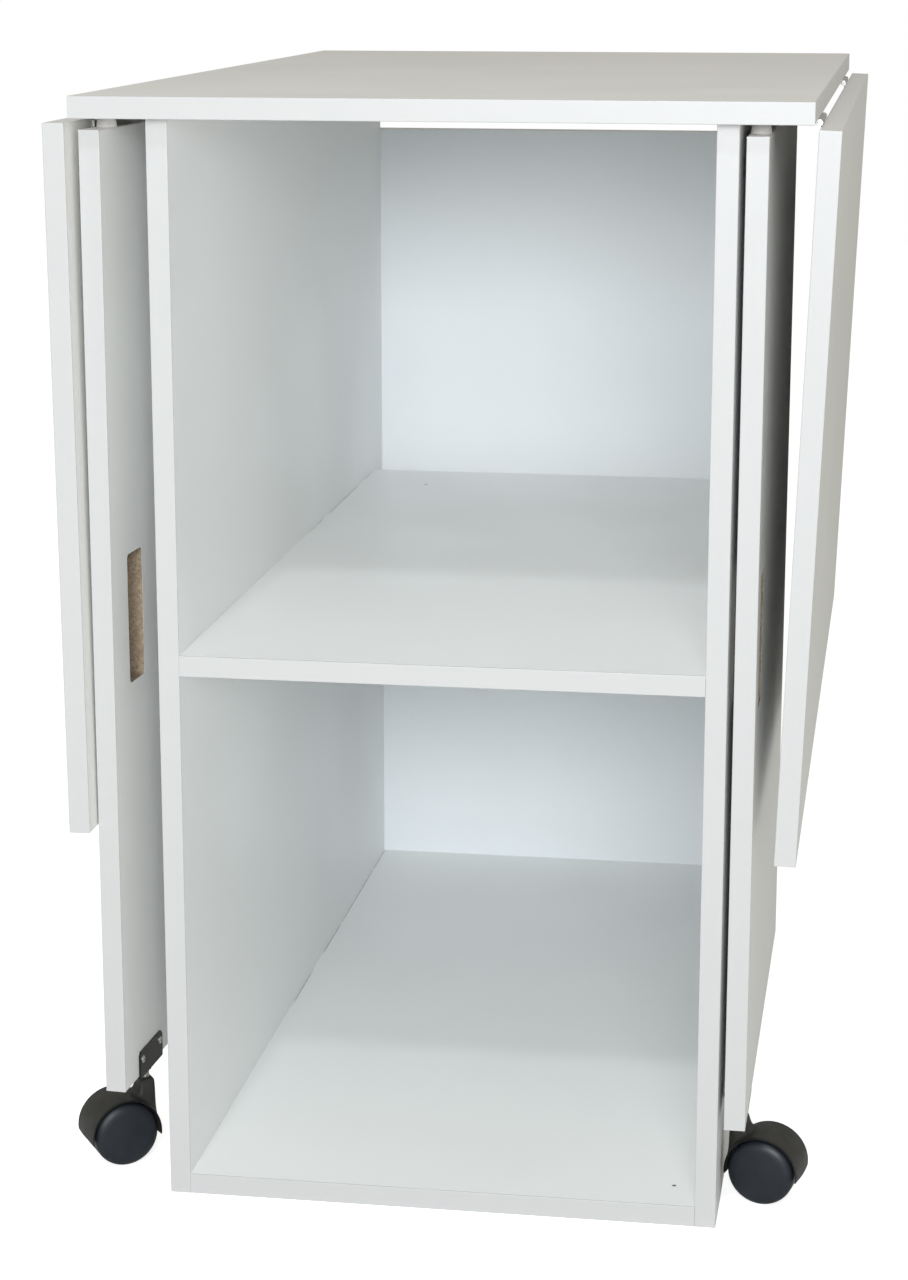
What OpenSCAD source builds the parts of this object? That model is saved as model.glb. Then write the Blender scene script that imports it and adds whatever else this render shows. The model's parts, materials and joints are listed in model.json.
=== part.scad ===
// Drop-leaf work table on a cabinet. The open-fronted cabinet carries the fixed top. A leaf
// hangs on butt hinges from each long edge of the top. Behind each leaf a gate, hinged to the
// side panel, swings out on a twin-wheel castor and holds the raised leaf up.
// Frame: millimetres, X to the right seen from the open front, Y to the back, Z up, origin at
// the centre of the cabinet's footprint on the floor. Everything is drawn as it stands folded.

/* [Boards] */
// Thickness of every laminated board
board_t = 16; // [15:0.5:18]
// Thickness of the edge band glued to the board edges that show
band_t = 1; // [0.8:0.1:2]
// Radius on the two outer corners of an edge band
band_r = 0.7; // [0.3:0.1:0.7]

/* [Top and leaves] */
// How far the top stands out past each side panel
side_overhang = 52; // [48:1:90]
// Depth of the top and of both leaves
top_d = 914; // [880:1:1000]
// Height of the worktop above the floor
table_h = 842; // [800:1:900]
// How far the top stands out past the cabinet front
front_overhang = 18; // [10:1:40]
// Width of one leaf, which is its hanging length
leaf_w = 528; // [450:1:560]
// Seam between the top and a raised leaf
leaf_seam = 1; // [0.6:0.1:2]
// Inward lean of the left leaf, which rests against its gate
left_lean = 0.4; // [0:0.1:0.4]
// Inward lean of the right leaf, which hangs free
right_lean = 1.9; // [0:0.1:2.3]

/* [Cabinet] */
// Outer width of the cabinet across the side panels
cabinet_w = 424; // [400:1:430]
// Depth of the side panels, from the front to the back panel
side_d = 842; // [800:1:845]
// Height of the shelf's upper face above the floor
shelf_z = 431; // [250:1:550]
// Gap between the shelf and the back panel
shelf_gap = 44; // [20:1:120]
// Open gap between the back panel and the underside of the top
back_gap = 58; // [30:1:90]

/* [Gates] */
// Length of a gate from its front edge to its rear edge
gate_l = 460; // [400:1:480]
// Height of a gate's lower edge above the floor
gate_z = 80; // [78:1:90]
// Gap between a gate's upper edge and the underside of the top
gate_head = 9; // [7:0.5:14]
// Gap between a side panel and its closed gate, filled by the folded hinge
gate_gap = 4.7; // [4.6:0.1:6]
// Distance from a gate's rear edge forward to its hinge pin
gate_pin_back = 1; // [0.5:0.1:2]
// Angle that the left gate stands open at rest
left_open = 3.7; // [0:0.1:3.7]
// Width of the handle slot
slot_w = 34; // [28:1:45]
// Height of the handle slot
slot_h = 100; // [80:1:130]
// Distance from the gate's front edge to the handle slot
slot_in = 36; // [30:1:60]
// Corner radius of the handle slot
slot_r = 4; // [2:1:10]

/* [Glide on a gate] */
// Diameter of the nylon glide that carries the raised leaf
glide_d = 15; // [12:0.5:16]
// Distance from the gate's front edge to the middle of the glide
glide_in = 40; // [30:1:41]
// Free height between the glide and the underside of the top
glide_play = 0.3; // [0.2:0.1:1]
// Width of the flat step round the foot of the glide
glide_step = 1; // [0.5:0.5:2]
// Radius of the pin that holds the glide in the gate's edge
glide_pin_r = 2; // [1.5:0.5:3]
// Length of that pin inside the gate
glide_pin_l = 16; // [10:1:25]

/* [Leaf hinges] */
// Length of a leaf hinge along its pin
leaf_hinge_l = 90; // [70:1:110]
// Width of one plate of a leaf hinge, from the pin
leaf_hinge_w = 28; // [24:1:28]
// Plate thickness of a leaf hinge
leaf_hinge_t = 1.5; // [1.2:0.1:1.8]
// Radius of the barrel of a leaf hinge
leaf_barrel_r = 2.5; // [2.4:0.1:3]
// Radius of the pin of a leaf hinge
leaf_pin_r = 1.3; // [1.1:0.1:1.4]
// Middle of the front leaf hinge, from the front edge of the top
leaf_hinge_front = 120; // [115:1:200]
// Middle of the rear leaf hinge, from the rear edge of the top
leaf_hinge_rear = 184; // [100:1:250]

/* [Gate hinges] */
// Length of a gate hinge along its pin
gate_hinge_l = 60; // [50:1:90]
// Width of one plate of a gate hinge, from the pin
gate_hinge_w = 26; // [22:1:34]
// Plate thickness of a gate hinge
gate_hinge_t = 1.2; // [1:0.1:1.3]
// Radius of the pin of a gate hinge
gate_pin_r = 1.1; // [1:0.1:1.2]
// Number of hinges on a gate
gate_hinges = 3; // [2:1:4]
// Distance from a gate's end to the middle of its outer hinges
gate_hinge_end = 90; // [60:1:150]

/* [Hinge fits] */
// Number of knuckles on a hinge, shared by its two plates
knuckles = 5; // [3:2:7]
// Running clearance round a hinge pin
pin_play = 0.05; // [0.03:0.01:0.08]
// Gap between neighbouring knuckles
knuckle_play = 0.3; // [0.2:0.1:0.5]
// Gap between a plate and the other plate's knuckle
plate_play = 0.4; // [0.3:0.1:0.8]

/* [Screws] */
// Radius of the countersunk head of a hinge screw
head_r = 2.9; // [2.5:0.1:3.2]
// Radius of the shank of a hinge screw
shank_r = 1.4; // [1.2:0.1:1.6]
// Length of a hinge screw
screw_l = 11; // [8:0.5:12]
// Radial clearance of a screw in its pilot hole
pilot_play = 0.1; // [0.05:0.05:0.3]
// Radius of the head of a back panel screw
back_head_r = 4.5; // [4:0.5:6]
// Radius of the shank of a back panel screw
back_shank_r = 2.5; // [2:0.25:3]
// Length of a back panel screw
back_screw_l = 45; // [35:1:55]

/* [Cabinet fittings] */
// Radius of a cam lock
cam_r = 7.5; // [6:0.5:8]
// Depth of a cam lock in its board
cam_h = 12; // [10:0.5:12.5]
// Distance from a board's end to the middle of its cam lock
cam_in = 34; // [24:1:40]
// Radial clearance of a cam lock in its pocket
cam_play = 0.1; // [0.05:0.05:0.3]
// Radius of the shank of a cam bolt
cam_bolt_r = 2.5; // [2:0.25:3]
// Radius of the head of a cam bolt
cam_bolt_head_r = 3; // [2.5:0.25:3.5]
// Length that a cam bolt is screwed into the other board
cam_bolt_in = 10; // [8:0.5:11]
// Distance of the first and last cam from a joint's ends
cam_end = 60; // [40:1:100]
// Radius of a wooden dowel
dowel_r = 4; // [3:0.5:5]
// Depth of a dowel in the board's end
dowel_deep = 20; // [15:1:25]
// Depth of a dowel in the board's face
dowel_face = 10; // [8:0.5:11]
// Distance from a cam to the dowel beside it
dowel_off = 32; // [24:1:48]

/* [Castor bracket] */
// Length of the bracket along the gate
bracket_l = 54; // [50:1:60]
// Height of the bracket's flange on the gate's inner face
bracket_h = 20; // [18:1:24]
// Sheet thickness of the bracket
bracket_t = 1.6; // [1.2:0.1:2]
// Distance from the gate's front edge to the middle of the bracket
bracket_in = 59; // [55:1:64]
// Distance from the gate's front edge to the castor's swivel axis
castor_in = 69; // [60:1:72]
// Distance of the bracket screws from the middle of the bracket
bracket_screw_x = 21; // [14:1:21]
// Height of the bracket screws above the gate's lower edge
bracket_screw_z = 13; // [10:1:14]
// Length of the corners cut off the bracket's flange
bracket_cut = 3; // [1:0.5:4]
// Radius of the domed head of a bracket screw
bracket_head_r = 3; // [2.5:0.1:3.5]
// Height of the domed head of a bracket screw
bracket_head_h = 1.4; // [1:0.1:1.8]
// Radius of the round boss under the bracket
boss_r = 5.2; // [5:0.1:7]
// Height of the boss under the bracket
boss_h = 6; // [3:0.5:7]
// Outer radius of the socket let into the gate's lower edge
socket_r = 5; // [4.8:0.1:6]
// Depth of the socket in the gate
socket_l = 24; // [18:1:30]

/* [Castor] */
// Diameter of a castor wheel
wheel_d = 52; // [48:1:52]
// Distance from the swivel axis back to the axle
trail = 22; // [20:1:24]
// Distance from the middle of the castor to the outer face of a wheel
wheel_out = 21.5; // [18:0.5:21.5]
// Thickness of the web between the wheels
web_t = 6; // [4:0.5:8]
// Side play of a wheel beside the web
wheel_side_play = 0.5; // [0.3:0.1:1]
// Gap between a wheel's tread and the hood
hood_play = 1.4; // [0.8:0.1:2]
// Wall thickness of the hood over the wheels
hood_t = 2.4; // [1.8:0.1:2.4]
// How much the hood is crowned across its width
hood_crown = 1; // [0:0.1:1.2]
// How far the hood stops short of the wheels' outer faces
hood_short = 2; // [1:0.5:3]
// Angle that the hood's two lips reach below the axle
lip_angle = 6; // [0:1:8]
// Half the width of the hood's neck at its top
neck_half = 5.5; // [5:0.5:6]
// Half the width of the neck where it runs out on the hood
neck_foot = 13; // [9:1:15]
// Bare stem that shows between the neck and the boss
neck_gap = 6.4; // [1:0.1:7]
// Radius of the swivel stem
stem_r = 3.4; // [3:0.1:3.6]
// Radius of the axle
axle_r = 3; // [2.5:0.1:3.5]
// Running clearance of the stem in its socket and the wheels on the axle
castor_play = 0.06; // [0.04:0.01:0.09]
// Gap between the stem's end and the end of its socket
stem_end_play = 0.3; // [0.2:0.1:1]
// Radius of the rounded shoulder of a wheel
shoulder_r = 4.5; // [2:0.5:5]
// Depth of the dish in a wheel's outer face
dish_h = 1; // [0.5:0.1:2]
// Swivel of the left castor against its gate
left_swivel = -38; // [-39:1:10]
// Swivel of the right castor against its gate
right_swivel = -12; // [-13:1:13]

/* [Hidden] */
$fn = 48;
eps = 0.01;

under_z = table_h - board_t;
top_w = cabinet_w + 2 * side_overhang;
shelf_d = side_d - shelf_gap;
front_y = -(side_d + board_t) / 2;
back_y = front_y + side_d;
top_y = front_y - front_overhang;
side_x = cabinet_w / 2;
inner_w = cabinet_w - 2 * board_t;
back_h = under_z - back_gap;

leaf_axis_x = top_w / 2 + leaf_seam / 2;
leaf_axis_z = under_z - leaf_barrel_r;
leaf_hinge_y = [top_y + leaf_hinge_front, top_y + top_d - leaf_hinge_rear];

gate_h = under_z - gate_head - gate_z;
gate_axis_x = side_x + gate_gap / 2;
gate_axis_y = front_y + gate_l + gate_pin_back;
gate_barrel_r = gate_gap / 2;
gate_hinge_step = (gate_h - 2 * gate_hinge_end) / (gate_hinges - 1);
gate_hinge_z = [for (i = [0:gate_hinges - 1]) gate_z + gate_hinge_end + i * gate_hinge_step];
gate_front = -(gate_l + gate_pin_back);

wheel_r = wheel_d / 2;
hood_in_r = wheel_r + hood_play;
hood_out_r = hood_in_r + hood_t;
hood_half = wheel_out - hood_short;
boss_z = gate_z - bracket_t - boss_h;
neck_z = boss_z - neck_gap;
web_half = web_t / 2;

cam_ys = [front_y + cam_end, (front_y + back_y) / 2, back_y - cam_end];
shelf_cam_ys = [front_y + cam_end, front_y + shelf_d / 2, front_y + shelf_d - cam_end];
back_screw_zs = [60, 280, 500, back_h - 50];
back_screw_xs = [-120, 0, 120];

// ---- Boards and their edge bands, flat with the thickness upwards ----

// Board of outer size [x, y], less the bands on its edges: bands = [left, right, front, rear]
module board(size, bands) {
    translate([bands[0] * band_t, bands[2] * band_t, 0])
        cube([size[0] - (bands[0] + bands[1]) * band_t, size[1] - (bands[2] + bands[3]) * band_t, board_t]);
}

// Section of an edge band: flat against the board, rounded on its two outer corners
module band_section() {
    square([band_t - band_r, board_t]);
    translate([0, band_r])
        square([band_t, board_t - 2 * band_r]);
    intersection() {
        square([band_t, board_t]);
        for (z = [band_r, board_t - band_r])
            translate([band_t - band_r, z])
                circle(r = band_r);
    }
}

// Strip along +Y that stands out in +X
module band_strip(length) {
    rotate([90, 0, 180])
        mirror([1, 0, 0])
            linear_extrude(height = length)
                band_section();
}

// The strips round a board of outer size [x, y]; the long ones cover the ends of the others
module board_bands(size, bands) {
    span = size[1] - (bands[2] + bands[3]) * band_t;
    if (bands[0] == 1)
        translate([band_t, bands[2] * band_t, 0])
            mirror([1, 0, 0])
                band_strip(span);
    if (bands[1] == 1)
        translate([size[0] - band_t, bands[2] * band_t, 0])
            band_strip(span);
    if (bands[2] == 1)
        translate([0, band_t, 0])
            rotate([0, 0, -90])
                band_strip(size[0]);
    if (bands[3] == 1)
        translate([size[0], size[1] - band_t, 0])
            rotate([0, 0, 90])
                band_strip(size[0]);
}

// Turns a flat board upright: its X runs to the back and its Y up
module upright() {
    rotate([90, 0, 90])
        children();
}

// ---- Where the moving groups stand; the left ones are mirror images ----

module side_of(side) {
    if (side < 0)
        mirror([1, 0, 0])
            children();
    else
        children();
}

// Origin on the leaf's hinge axis, +X out of the leaf's outer face
module on_leaf(side) {
    side_of(side)
        translate([leaf_axis_x, 0, leaf_axis_z])
            rotate([0, side < 0 ? left_lean : right_lean, 0])
                children();
}

// Origin on the gate's hinge axis at floor level, the gate running to -Y
module on_gate(side) {
    side_of(side)
        translate([gate_axis_x, gate_axis_y, 0])
            rotate([0, 0, side < 0 ? left_open : 0])
                children();
}

// Origin below the castor's swivel axis, the axle trailing to +X
module on_castor(side) {
    on_gate(side)
        translate([gate_gap / 2 + board_t / 2, gate_front + castor_in, 0])
            rotate([0, 0, side < 0 ? left_swivel : right_swivel])
                children();
}

// ---- Hinges and screws ----

// One plate of a butt hinge with its share of the knuckles. The pin runs along Z through the
// origin, the mounting face is at x = barrel_r and the plate runs to -Y.
module hinge_half(length, width, thick, barrel_r, pin_r, share) {
    pitch = length / knuckles;
    difference() {
        union() {
            translate([barrel_r - thick, -width, -length / 2])
                cube([thick, width, length]);
            for (i = [share:2:knuckles - 1])
                translate([0, 0, -length / 2 + i * pitch])
                    cylinder(r = barrel_r, h = pitch);
        }
        for (i = [0:knuckles])
            translate([-2 * barrel_r, -barrel_r - plate_play, -length / 2 + i * pitch - knuckle_play / 2])
                cube([4 * barrel_r, 3 * barrel_r, knuckle_play]);
        for (i = [1 - share:2:knuckles - 1])
            translate([-2 * barrel_r, -barrel_r - plate_play, -length / 2 + i * pitch])
                cube([4 * barrel_r, 3 * barrel_r, pitch]);
        translate([0, 0, -length])
            cylinder(r = pin_r + pin_play, h = 2 * length);
        hinge_screws(length, width, thick, barrel_r)
            screw_hole(head_r, shank_r, screw_l);
    }
}

// Places three screws in a plate, each with its head on the plate's open face
module hinge_screws(length, width, thick, barrel_r) {
    for (i = [-1:1])
        translate([barrel_r - thick, -width * 0.6, i * length * 0.34])
            rotate([0, 90, 0])
                children();
}

// Countersunk screw with its head's face at z = 0, pointing to +Z
module countersunk_screw(head, shank, length) {
    rotate_extrude()
        polygon([[0, 0], [head, 0], [shank, head - shank], [shank, length - 2 * shank], [0, length]]);
}

// The space a countersunk screw needs in what it holds
module screw_hole(head, shank, length) {
    play = pilot_play;
    rotate_extrude()
        polygon([
            [0, -eps], [head + play + eps, -eps], [shank + play, head - shank],
            [shank + play, length + play], [0, length + play]
        ]);
}

// Fixed plates lie under the top; their mounting face looks up
module at_fixed_leaf_hinges(side) {
    side_of(side)
        for (y = leaf_hinge_y)
            translate([leaf_axis_x, y, leaf_axis_z])
                rotate([0, -90, -90])
                    children();
}

// Moving plates lie on the leaf's inner face
module at_moving_leaf_hinges(side) {
    on_leaf(side)
        for (y = leaf_hinge_y)
            translate([0, y, 0])
                rotate([90, 0, 0])
                    children();
}

module at_fixed_gate_hinges(side) {
    side_of(side)
        for (z = gate_hinge_z)
            translate([gate_axis_x, gate_axis_y, z])
                mirror([1, 0, 0])
                    children();
}

module at_moving_gate_hinges(side) {
    on_gate(side)
        for (z = gate_hinge_z)
            translate([0, 0, z])
                children();
}

module leaf_half(share) {
    hinge_half(leaf_hinge_l, leaf_hinge_w, leaf_hinge_t, leaf_barrel_r, leaf_pin_r, share);
}

module gate_half(share) {
    hinge_half(gate_hinge_l, gate_hinge_w, gate_hinge_t, gate_barrel_r, gate_pin_r, share);
}

module leaf_hinge_screw_places() {
    hinge_screws(leaf_hinge_l, leaf_hinge_w, leaf_hinge_t, leaf_barrel_r)
        children();
}

module gate_hinge_screw_places() {
    hinge_screws(gate_hinge_l, gate_hinge_w, gate_hinge_t, gate_barrel_r)
        children();
}

module hinge_screw() {
    countersunk_screw(head_r, shank_r, screw_l);
}

module hinge_pilot() {
    screw_hole(head_r, shank_r, screw_l);
}

module leaf_hinge_fixed(side) {
    color("silver")
        at_fixed_leaf_hinges(side)
            leaf_half(0);
}

module leaf_hinge_plates(side) {
    color("silver")
        at_moving_leaf_hinges(side)
            leaf_half(1);
}

module gate_hinge_fixed(side) {
    color("silver")
        at_fixed_gate_hinges(side)
            gate_half(0);
}

module gate_hinge_plates(side) {
    color("silver")
        at_moving_gate_hinges(side)
            gate_half(1);
}

module leaf_hinge_pins() {
    color("gray")
        for (side = [-1, 1])
            at_fixed_leaf_hinges(side)
                cylinder(r = leaf_pin_r, h = leaf_hinge_l, center = true);
}

module gate_hinge_pins() {
    color("gray")
        for (side = [-1, 1])
            at_fixed_gate_hinges(side)
                cylinder(r = gate_pin_r, h = gate_hinge_l, center = true);
}

module leaf_hinge_screws_fixed() {
    color("silver")
        for (side = [-1, 1])
            at_fixed_leaf_hinges(side)
                leaf_hinge_screw_places()
                    hinge_screw();
}

module gate_hinge_screws_fixed() {
    color("silver")
        for (side = [-1, 1])
            at_fixed_gate_hinges(side)
                gate_hinge_screw_places()
                    hinge_screw();
}

module leaf_hinge_screws(side) {
    color("silver")
        at_moving_leaf_hinges(side)
            leaf_hinge_screw_places()
                hinge_screw();
}

module gate_hinge_screws(side) {
    color("silver")
        at_moving_gate_hinges(side)
            gate_hinge_screw_places()
                hinge_screw();
}

// ---- Cam fittings: a cam sits in a board's face, its bolt runs out of the board's end ----

// Origin where the board's end meets the other board, on the board's mid-plane. +X runs into
// the board that holds the cam, and the cam's open face is at z = -board_t / 2.
module cam_lock() {
    translate([cam_in, 0, -board_t / 2])
        difference() {
            cylinder(r = cam_r, h = cam_h);
            translate([-cam_r - eps, -cam_bolt_head_r - cam_play, board_t / 2 - cam_bolt_head_r - cam_play])
                cube([cam_r + cam_bolt_head_r + cam_play, 2 * (cam_bolt_head_r + cam_play), cam_h]);
            translate([0, 0, -eps])
                cylinder(r = cam_bolt_r, h = board_t / 2 - cam_bolt_head_r - 1);
        }
}

module cam_bolt() {
    translate([-cam_bolt_in, 0, 0])
        rotate([0, 90, 0])
            cylinder(r = cam_bolt_r, h = cam_bolt_in + cam_in - cam_bolt_head_r);
    translate([cam_in - cam_bolt_head_r, 0, 0])
        rotate([0, 90, 0])
            cylinder(r = cam_bolt_head_r, h = 2 * cam_bolt_head_r - cam_play);
}

// Pocket for the cam and bore for its bolt, in both boards
module cam_space() {
    translate([cam_in, 0, -board_t / 2 - eps])
        cylinder(r = cam_r + cam_play, h = cam_h + cam_play + eps);
    translate([-cam_bolt_in - cam_play, 0, 0])
        rotate([0, 90, 0])
            cylinder(r = cam_bolt_r + cam_play, h = cam_bolt_in + cam_in);
}

module dowel() {
    translate([-dowel_face, 0, 0])
        rotate([0, 90, 0])
            cylinder(r = dowel_r, h = dowel_face + dowel_deep);
}

module dowel_space() {
    translate([-dowel_face - cam_play, 0, 0])
        rotate([0, 90, 0])
            cylinder(r = dowel_r + cam_play, h = dowel_face + dowel_deep + 2 * cam_play);
}

// Ends of a level board between the side panels; the cams open downwards
module at_level_board(mid_z, ys) {
    for (side = [-1, 1])
        side_of(side)
            for (y = ys)
                translate([side_x - board_t, y, mid_z])
                    mirror([1, 0, 0])
                        children();
}

// Upper edges of the side panels; the cams open on the outer faces
module at_top_joint(ys) {
    for (side = [-1, 1])
        side_of(side)
            for (y = ys)
                translate([side_x - board_t / 2, y, under_z])
                    rotate([0, 90, 0])
                        mirror([0, 0, 1])
                            children();
}

module at_cams() {
    at_top_joint(cam_ys)
        children();
    at_level_board(board_t / 2, cam_ys)
        children();
    at_level_board(shelf_z - board_t / 2, shelf_cam_ys)
        children();
}

module at_dowels() {
    at_top_joint([cam_ys[0] + dowel_off, cam_ys[2] - dowel_off])
        children();
    at_level_board(board_t / 2, [cam_ys[0] + dowel_off, cam_ys[2] - dowel_off])
        children();
    at_level_board(shelf_z - board_t / 2, [shelf_cam_ys[0] + dowel_off, shelf_cam_ys[2] - dowel_off])
        children();
}

module fitting_spaces() {
    at_cams()
        cam_space();
    at_dowels()
        dowel_space();
}

module cam_locks() {
    color("silver")
        at_cams()
            cam_lock();
}

module cam_bolts() {
    color("gray")
        at_cams()
            cam_bolt();
}

module wood_dowels() {
    color("burlywood")
        at_dowels()
            dowel();
}

// Screws through the back panel into the side panels and the bottom panel
module at_back_screws() {
    for (side = [-1, 1])
        for (z = back_screw_zs)
            translate([side * (side_x - board_t / 2), back_y + board_t, z])
                rotate([90, 0, 0])
                    children();
    for (x = back_screw_xs)
        translate([x, back_y + board_t, board_t / 2])
            rotate([90, 0, 0])
                children();
}

module back_panel_screws() {
    color("silver")
        at_back_screws()
            countersunk_screw(back_head_r, back_shank_r, back_screw_l);
}

module back_screw_spaces() {
    at_back_screws()
        screw_hole(back_head_r, back_shank_r, back_screw_l);
}

// ---- Cabinet ----

module top_panel() {
    color("white")
        difference() {
            translate([-top_w / 2, top_y, under_z])
                board([top_w, top_d], [1, 1, 1, 1]);
            fitting_spaces();
            for (side = [-1, 1])
                at_fixed_leaf_hinges(side)
                    leaf_hinge_screw_places()
                        hinge_pilot();
        }
}

module top_edge_band() {
    color("white")
        translate([-top_w / 2, top_y, under_z])
            board_bands([top_w, top_d], [1, 1, 1, 1]);
}

module side_panel(side) {
    color("white")
        difference() {
            side_of(side)
                translate([side_x - board_t, front_y, 0])
                    upright()
                        board([side_d, under_z], [1, 0, 0, 0]);
            fitting_spaces();
            back_screw_spaces();
            at_fixed_gate_hinges(side)
                gate_hinge_screw_places()
                    hinge_pilot();
        }
}

module bottom_panel() {
    color("white")
        difference() {
            translate([-inner_w / 2, front_y, 0])
                board([inner_w, side_d], [0, 0, 1, 0]);
            fitting_spaces();
            back_screw_spaces();
        }
}

module shelf_panel() {
    color("white")
        difference() {
            translate([-inner_w / 2, front_y, shelf_z - board_t])
                board([inner_w, shelf_d], [0, 0, 1, 0]);
            fitting_spaces();
        }
}

module back_panel() {
    color("white")
        difference() {
            translate([-side_x, back_y + board_t, 0])
                rotate([90, 0, 0])
                    board([cabinet_w, back_h], [1, 1, 0, 1]);
            back_screw_spaces();
        }
}

module cabinet_edge_bands() {
    color("white") {
        for (side = [-1, 1])
            side_of(side)
                translate([side_x - board_t, front_y, 0])
                    upright()
                        board_bands([side_d, under_z], [1, 0, 0, 0]);
        translate([-inner_w / 2, front_y, 0])
            board_bands([inner_w, side_d], [0, 0, 1, 0]);
        translate([-inner_w / 2, front_y, shelf_z - board_t])
            board_bands([inner_w, shelf_d], [0, 0, 1, 0]);
        translate([-side_x, back_y + board_t, 0])
            rotate([90, 0, 0])
                board_bands([cabinet_w, back_h], [1, 1, 0, 1]);
    }
}

// ---- Leaves ----

// The leaf's lower face, when it is raised, is its inner face here
module leaf_board_place(side) {
    on_leaf(side)
        translate([leaf_barrel_r, top_y, -leaf_seam / 2 - leaf_w])
            upright()
                children();
}

module leaf_panel(side) {
    color("white")
        difference() {
            leaf_board_place(side)
                board([top_d, leaf_w], [1, 1, 1, 1]);
            at_moving_leaf_hinges(side)
                leaf_hinge_screw_places()
                    hinge_pilot();
        }
}

module leaf_edge_band(side) {
    color("white")
        leaf_board_place(side)
            board_bands([top_d, leaf_w], [1, 1, 1, 1]);
}

// ---- Gates ----

module gate_board_place(side) {
    on_gate(side)
        translate([gate_gap / 2, gate_front, gate_z])
            upright()
                children();
}

// Rectangle with round corners, as four circles and two crossing rectangles
module rounded_rectangle(width, height, radius) {
    translate([radius, 0])
        square([width - 2 * radius, height]);
    translate([0, radius])
        square([width, height - 2 * radius]);
    for (x = [radius, width - radius])
        for (y = [radius, height - radius])
            translate([x, y])
                circle(r = radius);
}

module gate_panel(side) {
    color("white")
        difference() {
            gate_board_place(side)
                difference() {
                    board([gate_l, gate_h], [1, 1, 1, 1]);
                    translate([slot_in, (gate_h - slot_h) / 2, -eps])
                        linear_extrude(height = board_t + 2 * eps)
                            rounded_rectangle(slot_w, slot_h, slot_r);
                }
            gate_fitting_spaces(side);
        }
}

module gate_edge_band(side) {
    color("white")
        difference() {
            gate_board_place(side)
                board_bands([gate_l, gate_h], [1, 1, 1, 1]);
            gate_fitting_spaces(side);
        }
}

module gate_fitting_spaces(side) {
    at_moving_gate_hinges(side)
        gate_hinge_screw_places()
            hinge_pilot();
    at_glide(side)
        translate([0, 0, -glide_pin_l])
            cylinder(r = glide_pin_r + pilot_play, h = glide_pin_l);
    at_bracket(side) {
        translate([0, 0, -eps])
            cylinder(r = socket_r + pilot_play, h = socket_l + pilot_play);
        at_bracket_screws()
            translate([0, 0, -eps])
                cylinder(r = shank_r + pilot_play, h = board_t / 2);
    }
}

// Origin on the gate's upper edge
module at_glide(side) {
    on_gate(side)
        translate([gate_gap / 2 + board_t / 2, gate_front + glide_in, gate_z + gate_h])
            children();
}

// Nylon glide: a flat foot, a round shoulder and a low dome, with its pin below
module gate_glide(side) {
    rise = gate_head - glide_play;
    r = glide_d / 2;
    color("whitesmoke")
        at_glide(side)
            rotate_extrude()
                polygon(concat(
                    [[0, -glide_pin_l + pilot_play], [glide_pin_r, -glide_pin_l + pilot_play], [glide_pin_r, 0]],
                    [[r, 0], [r, glide_step]],
                    [for (a = [0:15:90]) [(r - 2 * glide_step) + glide_step * cos(a), rise - 2 * glide_step + glide_step * sin(a)]],
                    [[0, rise]]
                ));
}

// Origin on the gate's lower edge at the swivel axis, +Y towards the hinge
module at_bracket(side) {
    on_gate(side)
        translate([gate_gap / 2 + board_t / 2, gate_front + castor_in, gate_z])
            children();
}

// Screws through the flange on the gate's inner face, pointing into the board
module at_bracket_screws() {
    for (end = [-1, 1])
        translate([-board_t / 2, bracket_in - castor_in + end * bracket_screw_x, bracket_screw_z])
            rotate([0, 90, 0])
                children();
}

// Section of the flange seen from the side, with its two upper corners cut off
module bracket_flange() {
    translate([-board_t / 2 - bracket_t, bracket_in - castor_in - bracket_l / 2, 0])
        upright()
            linear_extrude(height = bracket_t)
                polygon([
                    [0, -bracket_t], [bracket_l, -bracket_t], [bracket_l, bracket_h - bracket_cut],
                    [bracket_l - bracket_cut, bracket_h], [bracket_cut, bracket_h], [0, bracket_h - bracket_cut]
                ]);
}

// Pressed angle bracket: a web under the gate, a flange on its inner face, a boss and a socket
module castor_bracket(side) {
    color("dimgray")
        at_bracket(side)
            difference() {
                union() {
                    bracket_flange();
                    translate([-board_t / 2, bracket_in - castor_in - bracket_l / 2, -bracket_t])
                        cube([board_t, bracket_l, bracket_t]);
                    translate([0, 0, -bracket_t - boss_h])
                        cylinder(r = boss_r, h = boss_h + bracket_t);
                    cylinder(r = socket_r, h = socket_l);
                }
                translate([0, 0, -bracket_t - boss_h - eps])
                    cylinder(r = stem_r + castor_play, h = bracket_t + boss_h + socket_l - bracket_t + eps);
                at_bracket_screws()
                    translate([0, 0, -bracket_t - eps])
                        cylinder(r = shank_r + pilot_play, h = bracket_t + 2 * eps);
            }
}

// Dome-headed screws, their heads on the flange
module bracket_screws(side) {
    color("silver")
        at_bracket(side)
            at_bracket_screws()
                rotate_extrude()
                    polygon([
                        [0, -bracket_t - bracket_head_h], [bracket_head_r * 0.6, -bracket_t - bracket_head_h * 0.85],
                        [bracket_head_r, -bracket_t - bracket_head_h * 0.3], [bracket_head_r, -bracket_t],
                        [shank_r, -bracket_t], [shank_r, board_t / 2 - 2 * shank_r], [0, board_t / 2 - pilot_play]
                    ]);
}

// ---- Castors, each drawn with its swivel axis on Z and its axle trailing to +X ----

module at_axle() {
    translate([trail, 0, wheel_r])
        rotate([90, 0, 0])
            children();
}

// Curved shell over the upper half of both wheels, crowned across its width
module hood_shell() {
    steps = 8;
    crown = [for (i = [0:steps]) let (t = 2 * i / steps - 1) [hood_out_r - hood_crown * t * t, t * hood_half]];
    at_axle()
        rotate([0, 0, -lip_angle])
            rotate_extrude(angle = 180 + 2 * lip_angle)
                polygon(concat([[hood_in_r, -hood_half]], crown, [[hood_in_r, hood_half]]));
}

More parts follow.
